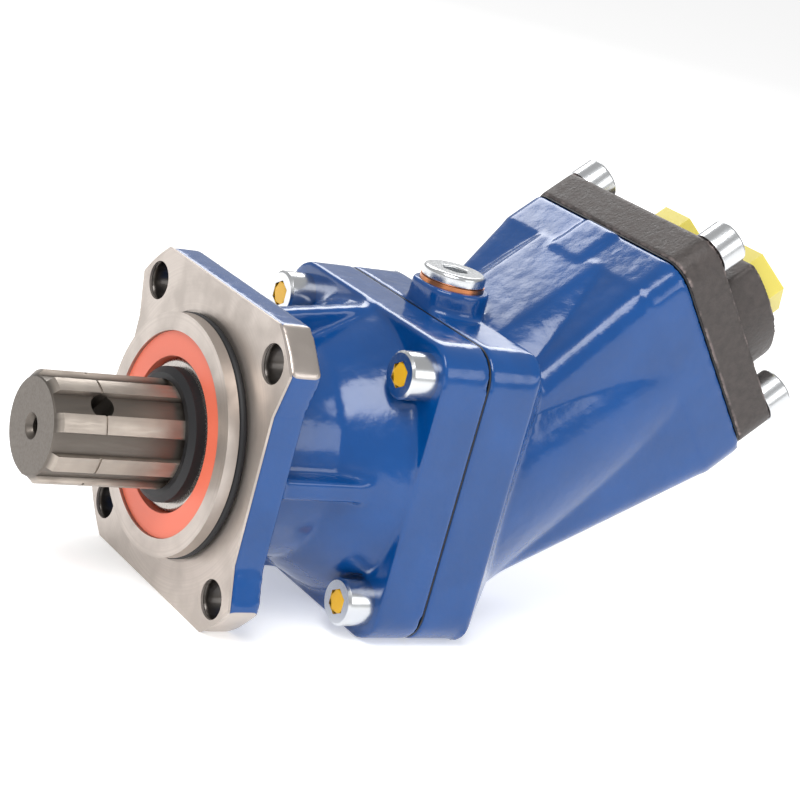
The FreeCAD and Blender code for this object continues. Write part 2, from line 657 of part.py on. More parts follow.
def drive_shaft():
    """Splined shaft with the drive disc and its ball sockets, one solid."""
    tip = "-spline_length"
    tooth_space = turned("spline_tips", [
        (tip, "0"), (tip, "spline_major - 2.4"), (tip + " + 2.4", "spline_major"),
        ("-sleeve_front", "spline_major"), ("-sleeve_front", "0")])
    bars = [cylinder("spline_root", "spline_minor", tip, "spline_length - sleeve_front"),
            cylinder("spline_runout", "spline_major", "-spline_end", "spline_end - sleeve_front")]
    for index, turn in enumerate((0, 45, 90, 135)):
        place = spun(ON_SHAFT, SIZES["spline_phase"] + turn)
        bars.append(box("spline_bar_%d" % index, tip, "spline_length - spline_end",
                        "spline_major", "-spline_tooth / 2", "spline_tooth / 2", place))
    spline = common("spline", tooth_space, fuse("spline_blank", bars))
    disc_front = "bend_from_face - drive_disc_thickness"
    rear_end = "rear_bearing_start + rear_bearing_width"
    front_end = "front_bearing_start + front_bearing_width"
    body = turned("shaft_body", [
        ("-sleeve_front - 1", "0"), ("-sleeve_front - 1", "spline_minor"),
        ("-sleeve_front", "spline_minor"), ("-sleeve_front", "neck_journal"),
        ("front_bearing_start", "neck_journal"), ("front_bearing_start", "front_journal"),
        (front_end, "front_journal"), (front_end, "middle_journal"),
        ("rear_bearing_start - 2", "middle_journal"), ("rear_bearing_start - 2", "rear_journal"),
        (rear_end, "rear_journal"), (rear_end, "hub_radius"), (disc_front, "hub_radius"),
        (disc_front, "drive_disc_radius"), ("bend_from_face", "drive_disc_radius"),
        ("bend_from_face", "0")])
    centre_hole = turned("centre_hole", [
        (tip + " - 1", "0"), (tip + " - 1", "5.1"), (tip + " + 2", "2.9"), (tip + " + 10", "2.9"),
        (tip + " + 11.5", "0")])
    across = spun(ON_SHAFT, SIZES["spline_phase"] + 22.5)
    cross_hole = doc.addObject("Part::Cylinder", "cross_hole")
    bind(cross_hole, "Radius", "cross_hole_radius")
    bind(cross_hole, "Height", "4 * spline_major")
    low = Vector(number("-cross_hole_from_face"), 0, number("-2 * spline_major"))
    cross_hole.Placement = across.multiply(Placement(low, Rotation()))
    ring_groove = turned("spline_groove", [
        ("-cross_hole_from_face - 0.4", "spline_major - 0.5"),
        ("-cross_hole_from_face + 0.4", "spline_major - 0.5"),
        ("-cross_hole_from_face + 0.4", "spline_major + 1"),
        ("-cross_hole_from_face - 0.4", "spline_major + 1")])
    holes = [centre_hole, cross_hole, ring_groove,
             ball("centre_socket", "pin_ball_radius + running_clearance", bend_centre())]
    for index in range(1, PISTONS + 1):
        holes.append(ball("socket_%d" % index, "ball_radius + running_clearance", ball_place(index)))
    for index, turn in enumerate(RETAINER_TURNS):
        holes.append(cylinder("retainer_thread_%d" % index, "2", "bend_from_face - 8", "9",
                              "13", placement=spun(ON_SHAFT, turn)))
    return settle(cut("drive_shaft_body", fuse("shaft_solid", [spline, body]), holes), "drive_shaft")


def seal_parts():
    """Radial shaft seal, the sleeve it runs on, the bearing nut and the rubber ring on the spline."""
    front = "-seal_front"
    inner = "sleeve_radius + running_clearance"
    settle(turned("shaft_seal_body", [
        (front, "seal_radius"), (front + " + seal_width", "seal_radius"),
        (front + " + seal_width", "seal_radius - 2"), (front + " + 3", "seal_radius - 2"),
        (front + " + 3", "sleeve_radius + 3"), (front + " + 6", "sleeve_radius + 2"),
        (front + " + 6", inner), (front + " + 4.5", inner), (front, inner + " + 0.5")]), "shaft_seal")
    sleeve_end = "-sleeve_front + sleeve_length"
    settle(turned("seal_sleeve_body", [
        ("-sleeve_front", "neck_journal"), (sleeve_end, "neck_journal"), (sleeve_end, "sleeve_radius"),
        ("-sleeve_front + 0.8", "sleeve_radius"), ("-sleeve_front", "sleeve_radius - 0.8")]),
        "seal_sleeve")
    blank = turned("nut_blank", [
        (sleeve_end, "neck_journal"), ("front_bearing_start", "neck_journal"),
        ("front_bearing_start", "nut_radius"), (sleeve_end, "nut_radius")])
    slots = []
    for index, turn in enumerate(QUARTER_TURNS):
        seat = spun(ON_SHAFT, turn).multiply(Placement(Vector(0, SIZES["nut_radius"], 0), Rotation()))
        slots.append(box("nut_slot_%d" % index, sleeve_end + " - 1", "nut_length + 2", "2.5", "-3", "3",
                         seat))
    settle(cut("bearing_nut_body", blank, slots), "bearing_nut")
    settle(turned("spline_ring_body", [
        ("-sleeve_front - 5", "spline_major"), ("-sleeve_front", "spline_major"),
        ("-sleeve_front", "spline_major + 4.2"), ("-sleeve_front - 3.4", "spline_major + 4.2"),
        ("-sleeve_front - 5", "spline_major + 2")]), "spline_ring")


def tapered_bearing(name, start, width, journal, cone_race, cup_race, cup_outside, count, facing):
    """Cup, cone, rollers and cage; facing 1 has the wide ends in front, -1 at the rear."""
    seat = Placement(Vector(number(start), 0, 0), Rotation())
    if facing < 0:
        seat = Placement(Vector(number(start + " + " + width), 0, 0), Rotation(Vector(0, 0, 1), 180))
    settle(turned(name + "_cup_body", [
        ("2", cup_race + " + race_rise"), (width, cup_race + " - race_rise"), (width, cup_outside),
        ("2", cup_outside)], seat), name + "_cup")
    rib = cone_race + " + race_rise + 1.6"
    settle(turned(name + "_cone_body", [
        ("0", journal), (width + " - 2", journal), (width + " - 2", cone_race + " - race_rise"),
        ("3", cone_race + " + race_rise"), ("3", rib), ("0", rib)], seat), name + "_cone")
    middle = "%s / 2 + %s / 2" % (cone_race, cup_race)
    slope = math.degrees(math.atan(2 * SIZES["race_rise"] / number(width + " - 4")))
    radius = "%s / 2 - %s / 2 - 2 * running_clearance" % (cup_race, cone_race)
    rollers, pockets = [], []
    for index in range(int(SIZES[count])):
        around = spun(seat, 360.0 / SIZES[count] * index)
        lean = Placement(Vector(3.6, number(middle + " + race_rise - 0.1"), 0),
                         Rotation(Vector(0, 0, 1), -slope))
        place = around.multiply(lean)
        rollers.append(cylinder("%s_roller_%d" % (name, index), radius, "0", width + " - 6.4",
                                placement=place))
        pockets.append(cylinder("%s_pocket_%d" % (name, index), radius + " + 0.25", "-0.3",
                                width + " - 5.8", placement=place))
    settle(group(name + "_rollers_body", rollers), name + "_rollers")
    ring = turned(name + "_cage_ring", [
        ("2.4", middle + " + race_rise - 0.6"), ("2.4", middle + " + race_rise + 0.6"),
        (width + " - 1.2", middle + " - race_rise + 0.6"),
        (width + " - 1.2", middle + " - race_rise - 0.6")], seat)
    settle(cut(name + "_cage_body", ring, pockets), name + "_cage")


# ---------------------------------------------------------------- rotating group

PISTONS = int(SIZES["piston_count"])
RETAINER_TURNS = (0, 120, 240)
BORE_CIRCLE = "ball_circle * %.6f" % ((1 + BEND_COS) / 2)
# The balls' circle, seen along the block's axis, is an ellipse. It is the bores' circle plus a
# small circle run backwards, so each rod leans by a fixed angle and its head stays in its bore.
LEAN_RADIUS = SIZES["ball_circle"] * (1 - BEND_COS) / 2


def bend_centre():
    return Vector(SIZES["bend_from_face"], 0, 0)


def piston_angle(index):
    return 360.0 / PISTONS * (index - 1)


def ball_place(index):
    turn = math.radians(piston_angle(index))
    reach = SIZES["ball_circle"]
    return bend_centre() + Vector(0, reach * math.cos(turn), reach * math.sin(turn))


def rod_place(index):
    """The frame of a piston: its origin in the ball's centre, its X axis along the rod."""
    turn = math.radians(piston_angle(index))
    aside = SIDEWAYS * -math.cos(turn) + UP_BLOCK * math.sin(turn)
    lean = math.asin(LEAN_RADIUS / SIZES["rod_length"])
    direction = ALONG_BLOCK * math.cos(lean) + aside * math.sin(lean)
    return Placement(ball_place(index), Rotation(X_AXIS, direction))


def cylinder_block():
    """Block with the bores, the spring's bore and a hollow spherical running face."""
    rear = "case_length + gasket_thickness"
    blank = turned("block_blank", [
        ("block_start", "0"), ("block_start", "block_radius - block_chamfer"),
        ("block_start + block_chamfer", "block_radius"), (rear, "block_radius"), (rear, "0")], ON_BLOCK)
    apex = number(rear + " - valve_thickness")
    centre = ON_BLOCK.multVec(Vector(apex + SIZES["valve_sphere"], 0, 0))
    holes = [ball("block_running_face", "valve_sphere + running_clearance", centre),
             cylinder("spring_bore", "spring_bore_radius", "block_start - 1", "spring_end - block_start + 1",
                      placement=ON_BLOCK),
             cylinder("pin_bore", "pin_radius + running_clearance", "spring_end - 1", "case_length",
                      placement=ON_BLOCK)]
    for index in range(1, PISTONS + 1):
        around = spun(ON_BLOCK, piston_angle(index))
        holes.append(cylinder("bore_%d" % index, "bore_radius", "block_start - 1",
                              "bore_end - block_start + 1", BORE_CIRCLE, placement=around))
        holes.append(cylinder("bore_port_%d" % index, "kidney_width / 2", "bore_end - 1", "20",
                              BORE_CIRCLE, placement=around))
    return settle(cut("cylinder_block_body", blank, holes), "cylinder_block")


def valve_plate():
    """Lens-shaped plate with two kidney slots, flat against the cover."""
    rear = "case_length + gasket_thickness"
    front = rear + " - valve_thickness"
    disc = turned("valve_disc", [
        (front, "pin_radius + running_clearance"), (rear, "pin_radius + running_clearance"),
        (rear, "valve_radius"), (front, "valve_radius")], ON_BLOCK)
    apex = number(front)
    sphere = ball("valve_running_face", "valve_sphere",
                  ON_BLOCK.multVec(Vector(apex + SIZES["valve_sphere"], 0, 0)))
    lens = common("valve_lens", disc, sphere)
    holes = kidneys("valve_kidney", front + " - 1", "valve_thickness + 2", ON_BLOCK)
    return settle(cut("valve_plate_body", lens, holes), "valve_plate")


def centre_pin():
    """Pin that keeps the block centred on its axis, with its ball in the shaft's centre."""
    rod = turned("pin_rod", [
        ("pin_radius", "0"), ("pin_radius", "pin_radius"), ("block_start + 2", "pin_radius"),
        ("block_start + 2", "pin_collar_radius"), ("block_start + 5", "pin_collar_radius"),
        ("block_start + 5", "pin_radius"), ("case_length - 1", "pin_radius"), ("case_length - 1", "0")],
        ON_BLOCK)
    head = ball("pin_ball", "pin_ball_radius", bend_centre())
    return settle(fuse("centre_pin_body", [rod, head]), "centre_pin")


def centre_spring():
    """Coil spring between the pin's collar and the block."""
    room = number("spring_end - block_start - 5 - 4 * spring_wire")
    path = Part.makeHelix(room / SIZES["spring_turns"], room, SIZES["spring_radius"])
    wire = Part.Wire([Part.makeCircle(SIZES["spring_wire"], Vector(SIZES["spring_radius"], 0, 0),
                                      Vector(0, 1, 0))])
    coil = Part.Wire(path.Edges).makePipeShell([wire], True, True)
    spring = doc.addObject("Part::Feature", "centre_spring_body")
    spring.Shape = coil
    start = number("block_start + 5 + 2 * spring_wire")
    spring.Placement = ON_BLOCK.multiply(Placement(Vector(start, 0, 0), Rotation(SIDEWAYS, 90)))
    return settle(spring, "centre_spring")


def ball_retainer():
    """Plate that holds the pistons' balls in the drive disc, and its screws."""
    start = "bend_from_face"
    blank = turned("retainer_blank", [
        (start, "8"), (start + " + retainer_thickness", "8"),
        (start + " + retainer_thickness", "drive_disc_radius - 0.5"), (start, "drive_disc_radius - 0.5")])
    holes = [ball("retainer_socket_%d" % index, "ball_radius + running_clearance", ball_place(index))
             for index in range(1, PISTONS + 1)]
    screws = []
    for index, turn in enumerate(RETAINER_TURNS):
        around = spun(ON_SHAFT, turn).multiply(Placement(Vector(0, 13, 0), Rotation()))
        holes.append(cylinder("retainer_hole_%d" % index, "2.1", start + " - 1", "4", placement=around))
        screws.append(turned("retainer_screw_%d" % index, [
            (start + " - 7", "0"), (start + " - 7", "2"), (start + " + retainer_thickness", "2"),
            (start + " + retainer_thickness", "3"), (start + " + retainer_thickness + 1.6", "3"),
            (start + " + retainer_thickness + 2", "2.6"), (start + " + retainer_thickness + 2", "0")],
            around))
    settle(group("retainer_screws_body", screws), "retainer_screws")
    return settle(cut("ball_retainer_body", blank, holes), "ball_retainer")


def piston(index):
    """One tapered piston: its ball, its rod and head, and its two rings."""
    tag = "_%d" % index
    place = rod_place(index)
    settle(ball("piston_ball_body" + tag, "ball_radius", ball_place(index)), "piston_ball" + tag)
    head_start = "rod_length - head_length / 2"
    rod = turned("rod" + tag, [
        ("ball_radius - 2.5", "0"), ("ball_radius - 2.5", "rod_neck"), ("ball_radius + 0.5", "rod_neck"),
        ("ball_radius + 4.5", "rod_shoulder"), (head_start, "rod_root"), (head_start, "0")], place)
    middle = place.multVec(Vector(SIZES["rod_length"], 0, 0))
    head = common("head" + tag, ball("head_sphere" + tag, "bore_radius - running_clearance", middle),
                  cylinder("head_slab" + tag, "bore_radius + 1", head_start, "head_length", placement=place))
    dish = ball("dish" + tag, "ball_radius + running_clearance", ball_place(index))
    grooves, rings = [], []
    for side, sign in (("front", "-"), ("rear", "+")):
        near = "rod_length %s ring_gap / 2" % sign
        far = "%s %s ring_width" % (near, sign)
        grooves.append(turned("groove_%s%s" % (side, tag), [
            (near, "bore_radius - 2"), (far, "bore_radius - 2"), (far, "bore_radius + 1"),
            (near, "bore_radius + 1")], place))
        inner, outer = "bore_radius - 1.9", "bore_radius - ring_inset"
        near_side, far_side = "%s %s 0.05" % (near, sign), "%s %s 0.05" % (far, "+" if sign == "-" else "-")
        rings.append(turned("ring_%s%s" % (side, tag), [
            (near_side, inner), (far_side, inner), (far_side, outer), (near_side, outer)], place))
    solid = fuse("piston_solid" + tag, [rod, head])
    settle(cut("piston_body" + tag, solid, [dish] + grooves), "piston" + tag)
    settle(group("piston_rings_body" + tag, rings), "piston_rings" + tag)


# ---------------------------------------------------------------- building

front_housing()
pilot_oring()
barrel_housing()
gasket("housing_gasket", "plate_front + plate_thickness", "plate_width / 2 - gasket_inset",
       "-plate_height / 2 + gasket_inset", "plate_height / 2 - gasket_inset",
       "plate_corner - gasket_inset", "rear_cup_radius + 1",
       four_corners("joint_screw_pitch", "joint_screw_pitch"), ON_SHAFT)
gasket("cover_gasket", "case_length", "case_width / 2 - gasket_inset",
       "-case_bottom + gasket_inset", "case_top - gasket_inset", "case_corner - gasket_inset",
       "block_radius + casting_clearance + 0.5", cover_screw_places(), ON_BLOCK)
end_cover()
port_cap("suction_port_cap", "")
port_cap("pressure_port_cap", "-")
housing_screws()
cover_screws()
vent_plug()
drive_shaft()
seal_parts()
tapered_bearing("front_bearing", "front_bearing_start", "front_bearing_width", "front_journal",
                "front_cone_race", "front_cup_race", "seal_radius", "front_roller_count", 1)
tapered_bearing("rear_bearing", "rear_bearing_start", "rear_bearing_width", "rear_journal",
                "rear_cone_race", "rear_cup_race", "rear_cup_radius", "rear_roller_count", -1)
cylinder_block()
valve_plate()
centre_pin()
centre_spring()
ball_retainer()
for number_of_piston in range(1, PISTONS + 1):
    piston(number_of_piston)
doc.recompute()

# ---------------------------------------------------------------- checks and export

for thing in doc.Objects:
    if "Invalid" in thing.State or "Error" in thing.State:
        raise RuntimeError("%s (%s) failed: %s" % (thing.Label, thing.TypeId, thing.State))
for piece in SUBPARTS:
    if piece.Shape.isNull() or not piece.Shape.isValid() or not piece.Shape.Solids:
        raise RuntimeError("%s is not a valid solid" % piece.Label)

os.makedirs("parts", exist_ok=True)
for piece in SUBPARTS:
    path = "parts/%s.step" % piece.Label
    piece.Shape.exportStep(path)
    saved = Part.Shape()
    saved.read(path)
    if abs(saved.Volume - piece.Shape.Volume) > 0.001 * piece.Shape.Volume:
        raise RuntimeError("%s was saved with another volume" % piece.Label)
    print("%-22s solids %2d  volume %10.0f mm3" % (piece.Label, len(piece.Shape.Solids),
                                                  piece.Shape.Volume))
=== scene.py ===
"""Bent-axis axial piston pump: cast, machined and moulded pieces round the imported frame.

Row frame: metres, +X back along the drive shaft from the mounting face, +Z up.
"""

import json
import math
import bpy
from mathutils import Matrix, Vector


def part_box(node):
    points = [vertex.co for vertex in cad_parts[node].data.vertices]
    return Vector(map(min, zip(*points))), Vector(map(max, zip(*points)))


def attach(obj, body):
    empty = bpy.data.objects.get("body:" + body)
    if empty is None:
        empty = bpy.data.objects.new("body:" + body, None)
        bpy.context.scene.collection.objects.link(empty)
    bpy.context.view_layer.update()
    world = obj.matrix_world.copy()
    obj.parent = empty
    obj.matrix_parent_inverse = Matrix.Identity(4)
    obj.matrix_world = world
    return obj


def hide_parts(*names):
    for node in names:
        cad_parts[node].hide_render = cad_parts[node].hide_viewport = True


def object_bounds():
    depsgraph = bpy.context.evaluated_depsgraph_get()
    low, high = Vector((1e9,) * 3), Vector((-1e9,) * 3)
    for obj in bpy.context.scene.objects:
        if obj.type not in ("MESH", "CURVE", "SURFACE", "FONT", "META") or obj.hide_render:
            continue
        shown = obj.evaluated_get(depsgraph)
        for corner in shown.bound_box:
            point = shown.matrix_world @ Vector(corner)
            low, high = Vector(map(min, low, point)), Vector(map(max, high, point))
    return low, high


bl_info = {
    "name": "Axial Piston Pump",
    "version": (1, 0, 0),
    "blender": (4, 5, 0),
    "location": "View3D > Sidebar > Pump",
    "description": "Builds the finished look of a bent-axis axial piston pump on its packed frame",
    "category": "Object",
}

import bmesh
import bpy
from mathutils import Matrix, Vector

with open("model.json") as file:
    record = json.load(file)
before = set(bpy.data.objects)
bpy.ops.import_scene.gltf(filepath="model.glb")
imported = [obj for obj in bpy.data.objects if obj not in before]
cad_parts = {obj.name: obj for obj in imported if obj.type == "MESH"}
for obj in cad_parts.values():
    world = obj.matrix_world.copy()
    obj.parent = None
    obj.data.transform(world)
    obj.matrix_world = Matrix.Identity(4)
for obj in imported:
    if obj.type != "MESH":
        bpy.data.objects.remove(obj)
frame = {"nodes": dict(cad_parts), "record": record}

MM = 0.001
NODES = frame["nodes"]
CAD_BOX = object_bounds()
BODY_OF_NODE = {node: body for body, nodes in frame["record"]["behaviour"]["bodies"].items()
                for node in nodes}
SHAFT_DIRECTION = Vector((1, 0, 0))
FRONT_CASTING = ("mounting_flange", "bearing_neck", "rear_plate")
HOLE_PLACE = 40 * MM            # mounting holes, from the shaft's axis both ways
HOLE_EDGE = 7.0 * MM            # just outside the mounting holes
CORNER_TURNING = 64.15 * MM     # radius where the flange's turned corners begin
FLANGE_BACK = 12.0 * MM         # rear of the mounting flange
SPLINE_ROOT = 16 * MM           # root radius of the splines
SCREW_HEAD = 8 * MM             # radius of the screw heads


# ---------------------------------------------------------------- settings

class PumpCastingSettings(bpy.types.PropertyGroup):
    """Sizes and colours of the cast pieces."""
    skin_size: bpy.props.FloatProperty(
        name="Skin size", description="Width of one facet of the cast skin",
        default=1.0 * MM, unit="LENGTH", precision=5)
    fillet_passes: bpy.props.IntProperty(
        name="Fillet passes", description="How far the castings' edges and corners are rounded",
        default=4, min=0)
    cover_passes: bpy.props.IntProperty(
        name="Cover fillet passes", description="How far the end cover's edges are rounded",
        default=2, min=0)
    face_depth: bpy.props.FloatProperty(
        name="Machined depth", description="Depth of the bare metal behind the mounting face",
        default=0.9 * MM, unit="LENGTH", precision=5)
    enamel: bpy.props.StringProperty(
        name="Enamel", description="Colour of the enamel, sRGB hex", default="024688")
    bare_iron: bpy.props.StringProperty(
        name="Bare iron", description="Colour of the machined iron, sRGB hex", default="C2B8B0")
    dark_iron: bpy.props.StringProperty(
        name="Dark iron", description="Colour of the phosphated cover, sRGB hex", default="4A4442")


class PumpHardwareSettings(bpy.types.PropertyGroup):
    """Sizes and colours of the machined, plated and moulded pieces."""
    edge_break: bpy.props.FloatProperty(
        name="Edge break", description="Chamfer on the machined edges",
        default=0.35 * MM, unit="LENGTH", precision=5)
    head_edge: bpy.props.FloatProperty(
        name="Screw head edge", description="Rounding of the screw heads",
        default=0.8 * MM, unit="LENGTH", precision=5)
    zinc: bpy.props.StringProperty(
        name="Zinc", description="Colour of the plated screws, sRGB hex", default="D6D8DA")
    socket_plug: bpy.props.StringProperty(
        name="Socket plug", description="Colour of the plugs in the sockets, sRGB hex",
        default="FFC018")
    copper: bpy.props.StringProperty(
        name="Copper", description="Colour of the sealing washer, sRGB hex", default="C98358")
    cap: bpy.props.StringProperty(
        name="Port cap", description="Colour of the moulded port caps, sRGB hex",
        default="DACB5C")
    seal: bpy.props.StringProperty(
        name="Shaft seal", description="Colour of the shaft seal, sRGB hex", default="EE7458")
    shaft: bpy.props.StringProperty(
        name="Shaft", description="Colour of the ground shaft, sRGB hex", default="B0A69C")


class PumpStageSettings(bpy.types.PropertyGroup):
    """The floor, the lights and the camera."""
    lens: bpy.props.FloatProperty(
        name="Lens", description="Focal length of the camera, in millimetres",
        default=103.64, unit="CAMERA")
    camera_place: bpy.props.FloatVectorProperty(
        name="Camera place", description="Where the camera stands",
        default=(-0.37617, -0.61318, 0.22630), subtype="XYZ", precision=5)
    floor_colour: bpy.props.StringProperty(
        name="Floor", description="Colour of the floor, sRGB hex", default="F4F4F4")
    floor_width: bpy.props.FloatProperty(
        name="Floor width", description="Side of the square floor", default=60.0, unit="LENGTH")


# ---------------------------------------------------------------- materials

def linear(hex_colour):
    """Linear RGBA from an sRGB hex colour."""
    channels = []
    for start in (0, 2, 4):
        value = int(hex_colour[start:start + 2], 16) / 255
        channels.append(value / 12.92 if value <= 0.04045 else ((value + 0.055) / 1.055) ** 2.4)
    return (*channels, 1.0)


def shade(hex_colour, factor):
    """The colour, lighter or darker by a factor."""
    return tuple(min(1.0, channel * factor) for channel in linear(hex_colour)[:3]) + (1.0,)


def add(tree, kind, settings=None, links=None):
    """A node with its settings, and with values or other nodes' outputs on its sockets."""
    node = tree.nodes.new(kind)
    for name, value in (settings or {}).items():
        setattr(node, name, value)
    for socket, value in (links or {}).items():
        if isinstance(value, bpy.types.NodeSocket):
            tree.links.new(value, node.inputs[socket])
        else:
            node.inputs[socket].default_value = value
    return node


def blank_material(name, colour, sockets):
    """(material, tree, shader) with plain values on the shader."""
    material = bpy.data.materials.new(name)
    material.use_nodes = True
    tree = material.node_tree
    shader = tree.nodes["Principled BSDF"]
    shader.inputs["Base Color"].default_value = linear(colour)
    for socket, value in sockets.items():
        shader.inputs[socket].default_value = value
    return material, tree, shader


def grain(tree, size, detail=2.0, stretch=(1, 1, 1)):
    """Noise whose blobs are about that size across, in metres."""
    place = add(tree, "ShaderNodeTexCoord").outputs["Object"]
    if stretch != (1, 1, 1):
        place = add(tree, "ShaderNodeMapping", links={"Vector": place, "Scale": stretch}).outputs[0]
    return add(tree, "ShaderNodeTexNoise", links={
        "Vector": place, "Scale": 1 / size, "Detail": detail}).outputs["Fac"]


def ramp(tree, value, low, high, out_low=0.0, out_high=1.0):
    """The value carried from low..high to out_low..out_high, held at both ends."""
    return add(tree, "ShaderNodeMapRange", {"clamp": True}, {
        "Value": value, "From Min": low, "From Max": high,
        "To Min": out_low, "To Max": out_high}).outputs["Result"]


def mix(tree, factor, first, second):
    """Two colours mixed by a factor."""
    node = add(tree, "ShaderNodeMix", {"data_type": "RGBA"})
    tree.links.new(factor, node.inputs["Factor"])
    for socket, value in ((6, first), (7, second)):
        if isinstance(value, bpy.types.NodeSocket):
            tree.links.new(value, node.inputs[socket])
        else:
            node.inputs[socket].default_value = value
    return node.outputs[2]


def emboss(tree, shader, height, depth):
    """The height, as a relief that deep in metres."""
    bump = add(tree, "ShaderNodeBump", links={"Height": height, "Distance": depth, "Strength": 1.0})
    tree.links.new(bump.outputs["Normal"], shader.inputs["Normal"])


def radius_from_shaft(tree):
    """(distance from the shaft's axis, distance along it), in metres."""
    place = add(tree, "ShaderNodeTexCoord").outputs["Object"]
    apart = add(tree, "ShaderNodeSeparateXYZ", links={"Vector": place})
    flat = add(tree, "ShaderNodeCombineXYZ", links={"Y": apart.outputs["Y"], "Z": apart.outputs["Z"]})
    length = add(tree, "ShaderNodeVectorMath", {"operation": "LENGTH"}, {0: flat.outputs[0]})
    return length.outputs["Value"], apart.outputs["X"]


def distance_from_holes(tree):
    """Distance from the nearest mounting hole's axis, in metres."""
    place = add(tree, "ShaderNodeTexCoord").outputs["Object"]
    folded = add(tree, "ShaderNodeVectorMath", {"operation": "ABSOLUTE"}, {0: place})
    apart = add(tree, "ShaderNodeVectorMath", {"operation": "SUBTRACT"},
                {0: folded.outputs[0], 1: (0, HOLE_PLACE, HOLE_PLACE)})
    flat = add(tree, "ShaderNodeVectorMath", {"operation": "MULTIPLY"},
               {0: apart.outputs[0], 1: (0, 1, 1)})
    length = add(tree, "ShaderNodeVectorMath", {"operation": "LENGTH"}, {0: flat.outputs[0]})
    return length.outputs["Value"]


def blue_enamel(settings, turned_corners=False):
    """Gloss enamel sprayed over cast iron: deep blue, wet-looking, over slow sand-cast waves."""
    material, tree, shader = blank_material("Gloss enamel on cast iron", settings.enamel, {
        "Roughness": 0.24, "IOR": 1.45, "Coat Weight": 0.35, "Coat Roughness": 0.08})
    waves = grain(tree, 7 * MM, 1.0)
    peel = grain(tree, 1.6 * MM, 1.0)
    height = add(tree, "ShaderNodeMath", {"operation": "MULTIPLY_ADD"},
                 {0: peel, 1: 0.16, 2: waves}).outputs[0]
    emboss(tree, shader, height, 0.30 * MM)
    tone = ramp(tree, grain(tree, 22 * MM, 3.0), 0.35, 0.65)
    colour = mix(tree, tone, shade(settings.enamel, 0.90), shade(settings.enamel, 1.06))
    rough = ramp(tree, grain(tree, 5 * MM), 0.3, 0.7, 0.14, 0.24)
    if turned_corners:
        radius, along = radius_from_shaft(tree)
        corner = ramp(tree, radius, CORNER_TURNING, CORNER_TURNING + 0.15 * MM)
        drilled = ramp(tree, distance_from_holes(tree), HOLE_EDGE, HOLE_EDGE + 0.3 * MM, 1.0, 0.0)
        turned = add(tree, "ShaderNodeMath", {"operation": "MAXIMUM"},
                     {0: corner, 1: drilled}).outputs[0]
        front = ramp(tree, along, FLANGE_BACK, FLANGE_BACK + 0.4 * MM, 1.0, 0.0)
        bare = add(tree, "ShaderNodeMath", {"operation": "MULTIPLY"}, {0: turned, 1: front}).outputs[0]
        # The drilled walls get painted shade: they are mixed dark inside the holes, beside the turned
        # corners.
        colour = mix(tree, bare, colour, linear(settings.bare_iron))
        colour = mix(tree, drilled, colour, shade(settings.bare_iron, 0.18))
        tree.links.new(bare, shader.inputs["Metallic"])
        rough = add(tree, "ShaderNodeMath", {"operation": "MULTIPLY_ADD"},
                    {0: bare, 1: 0.18, 2: rough}).outputs[0]
        material.name = "Gloss enamel with turned corners"
    tree.links.new(colour, shader.inputs["Base Color"])
    tree.links.new(rough, shader.inputs["Roughness"])
    return material


def turned_iron(settings):
    """Cast iron faced on a lathe: warm grey, with fine rings round the shaft and stains."""
    material, tree, shader = blank_material("Face-turned cast iron", settings.bare_iron, {
        "Metallic": 0.75, "Roughness": 0.42})
    radius, along = radius_from_shaft(tree)
    line = add(tree, "ShaderNodeCombineXYZ", links={"X": radius})
    # A feed of about 0.2 mm would be too fine to see, so the rings are drawn 0.7 mm apart.
    rings = add(tree, "ShaderNodeTexNoise", {"noise_dimensions": "3D"}, {
        "Vector": line.outputs[0], "Scale": 1 / (0.7 * MM), "Detail": 2.0}).outputs["Fac"]
    stain = ramp(tree, grain(tree, 14 * MM, 5.0), 0.42, 0.62)
    ringed = mix(tree, ramp(tree, rings, 0.3, 0.7), shade(settings.bare_iron, 0.90),
                 shade(settings.bare_iron, 1.06))
    colour = mix(tree, stain, ringed, shade(settings.bare_iron, 0.86))
    tree.links.new(colour, shader.inputs["Base Color"])
    tree.links.new(ramp(tree, stain, 0, 1, 0.34, 0.46), shader.inputs["Roughness"])
    emboss(tree, shader, rings, 0.02 * MM)
    return material


def phosphated_iron(settings):
    """Sand-cast iron, phosphated and oiled: dark brown-grey grain, bright where edges are rubbed."""
    material, tree, shader = blank_material("Phosphated cast iron", settings.dark_iron, {
        "Metallic": 0.25, "Roughness": 0.5})
    mottle = ramp(tree, grain(tree, 3 * MM, 4.0), 0.3, 0.7)
    colour = mix(tree, mottle, shade(settings.dark_iron, 0.72), shade(settings.dark_iron, 1.2))
    point = add(tree, "ShaderNodeNewGeometry").outputs["Pointiness"]
    rubbed = ramp(tree, point, 0.525, 0.57)
    patchy = add(tree, "ShaderNodeMath", {"operation": "MULTIPLY"}, {
        0: rubbed, 1: ramp(tree, grain(tree, 4 * MM, 3.0), 0.45, 0.6)}).outputs[0]
    colour = mix(tree, patchy, colour, linear("B8A6A2"))
    tree.links.new(colour, shader.inputs["Base Color"])
    tree.links.new(ramp(tree, mottle, 0, 1, 0.42, 0.6), shader.inputs["Roughness"])
    emboss(tree, shader, grain(tree, 1.3 * MM, 3.0), 0.22 * MM)
    return material


def zinc_plate(settings):
    """Steel with bright zinc plating: clean silver with a faint haze."""
    material, tree, shader = blank_material("Zinc-plated steel", settings.zinc, {
        "Metallic": 1.0, "Roughness": 0.25})
    haze = grain(tree, 0.5 * MM, 2.0)
    tree.links.new(ramp(tree, haze, 0.3, 0.7, 0.2, 0.27), shader.inputs["Roughness"])
    return material


